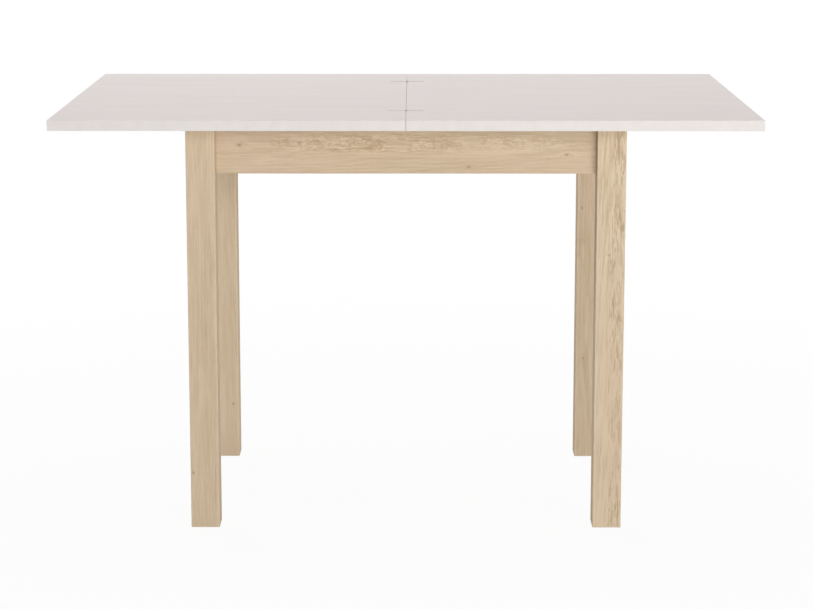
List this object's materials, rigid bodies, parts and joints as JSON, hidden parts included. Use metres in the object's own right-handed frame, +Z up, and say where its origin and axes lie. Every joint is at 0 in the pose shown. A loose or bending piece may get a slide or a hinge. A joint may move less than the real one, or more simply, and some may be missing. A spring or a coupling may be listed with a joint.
{
  "type": "turn-and-fold extending table",
  "caption": "Small dining table with square oak-effect legs and aprons and an off-white top in two hinged leaves that turns on a pivot and folds to half its length.",
  "frame": {"origin": "on the floor, under the middle of the open top", "axes": "+X along the open top, towards the turning leaf; +Y to the rear; +Z up"},
  "size_m": [1.2, 0.8, 0.7421],
  "materials": {
    "pale_oak_finish": "satin",
    "white_board": "satin",
    "white_edging": "satin",
    "nickel_steel": "satin",
    "zinc_steel": "satin",
    "beech": "matte",
    "felt": "matte",
    "nylon": "satin"
  },
  "bodies": {
    "base": {"front_left_leg": "pale_oak_finish", "front_right_leg": "pale_oak_finish", "rear_left_leg": "pale_oak_finish", "rear_right_leg": "pale_oak_finish", "front_apron": "pale_oak_finish", "rear_apron": "pale_oak_finish", "left_apron": "pale_oak_finish", "right_apron": "pale_oak_finish", "front_left_corner_bracket": "zinc_steel", "front_right_corner_bracket": "zinc_steel", "rear_left_corner_bracket": "zinc_steel", "rear_right_corner_bracket": "zinc_steel", "apron_dowels": "beech", "leg_glides": "nylon", "hanger_bolts": "zinc_steel", "hanger_bolt_washers": "zinc_steel", "hanger_bolt_nuts": "zinc_steel", "slide_pads": "felt", "pivot_rail": "beech", "front_rail_bracket": "zinc_steel", "rear_rail_bracket": "zinc_steel", "rail_bracket_screws": "zinc_steel", "pivot_bush": "nylon"},
    "turning_leaf": {"turning_leaf_board": "white_board", "turning_leaf_edging": "white_edging", "pivot_plate": "zinc_steel", "pivot_plate_screws": "zinc_steel", "pivot_bolt": "zinc_steel", "pivot_washer": "zinc_steel", "pivot_spring_washer": "zinc_steel", "pivot_lock_nut": "zinc_steel", "stop_peg": "nylon", "front_hinge_fixed_plate": "nickel_steel", "rear_hinge_fixed_plate": "nickel_steel", "fixed_plate_screws": "nickel_steel", "hinge_pins": "nickel_steel"},
    "folding_leaf": {"folding_leaf_board": "white_board", "folding_leaf_edging": "white_edging", "front_hinge_folding_plate": "nickel_steel", "rear_hinge_folding_plate": "nickel_steel", "folding_plate_screws": "nickel_steel"}
  },
  "joints": [
    {"name": "top_turn", "type": "hinge", "parent": "base", "child": "turning_leaf", "pos_m": [0.15, 0.15, 0.722], "axis": [0, 0, -1], "range_deg": [0, 90]},
    {"name": "leaf_fold", "type": "hinge", "parent": "turning_leaf", "child": "folding_leaf", "pos_m": [0, 0, 0.7402], "axis": [0, 1, 0], "range_deg": [0, 180]}
  ]
}
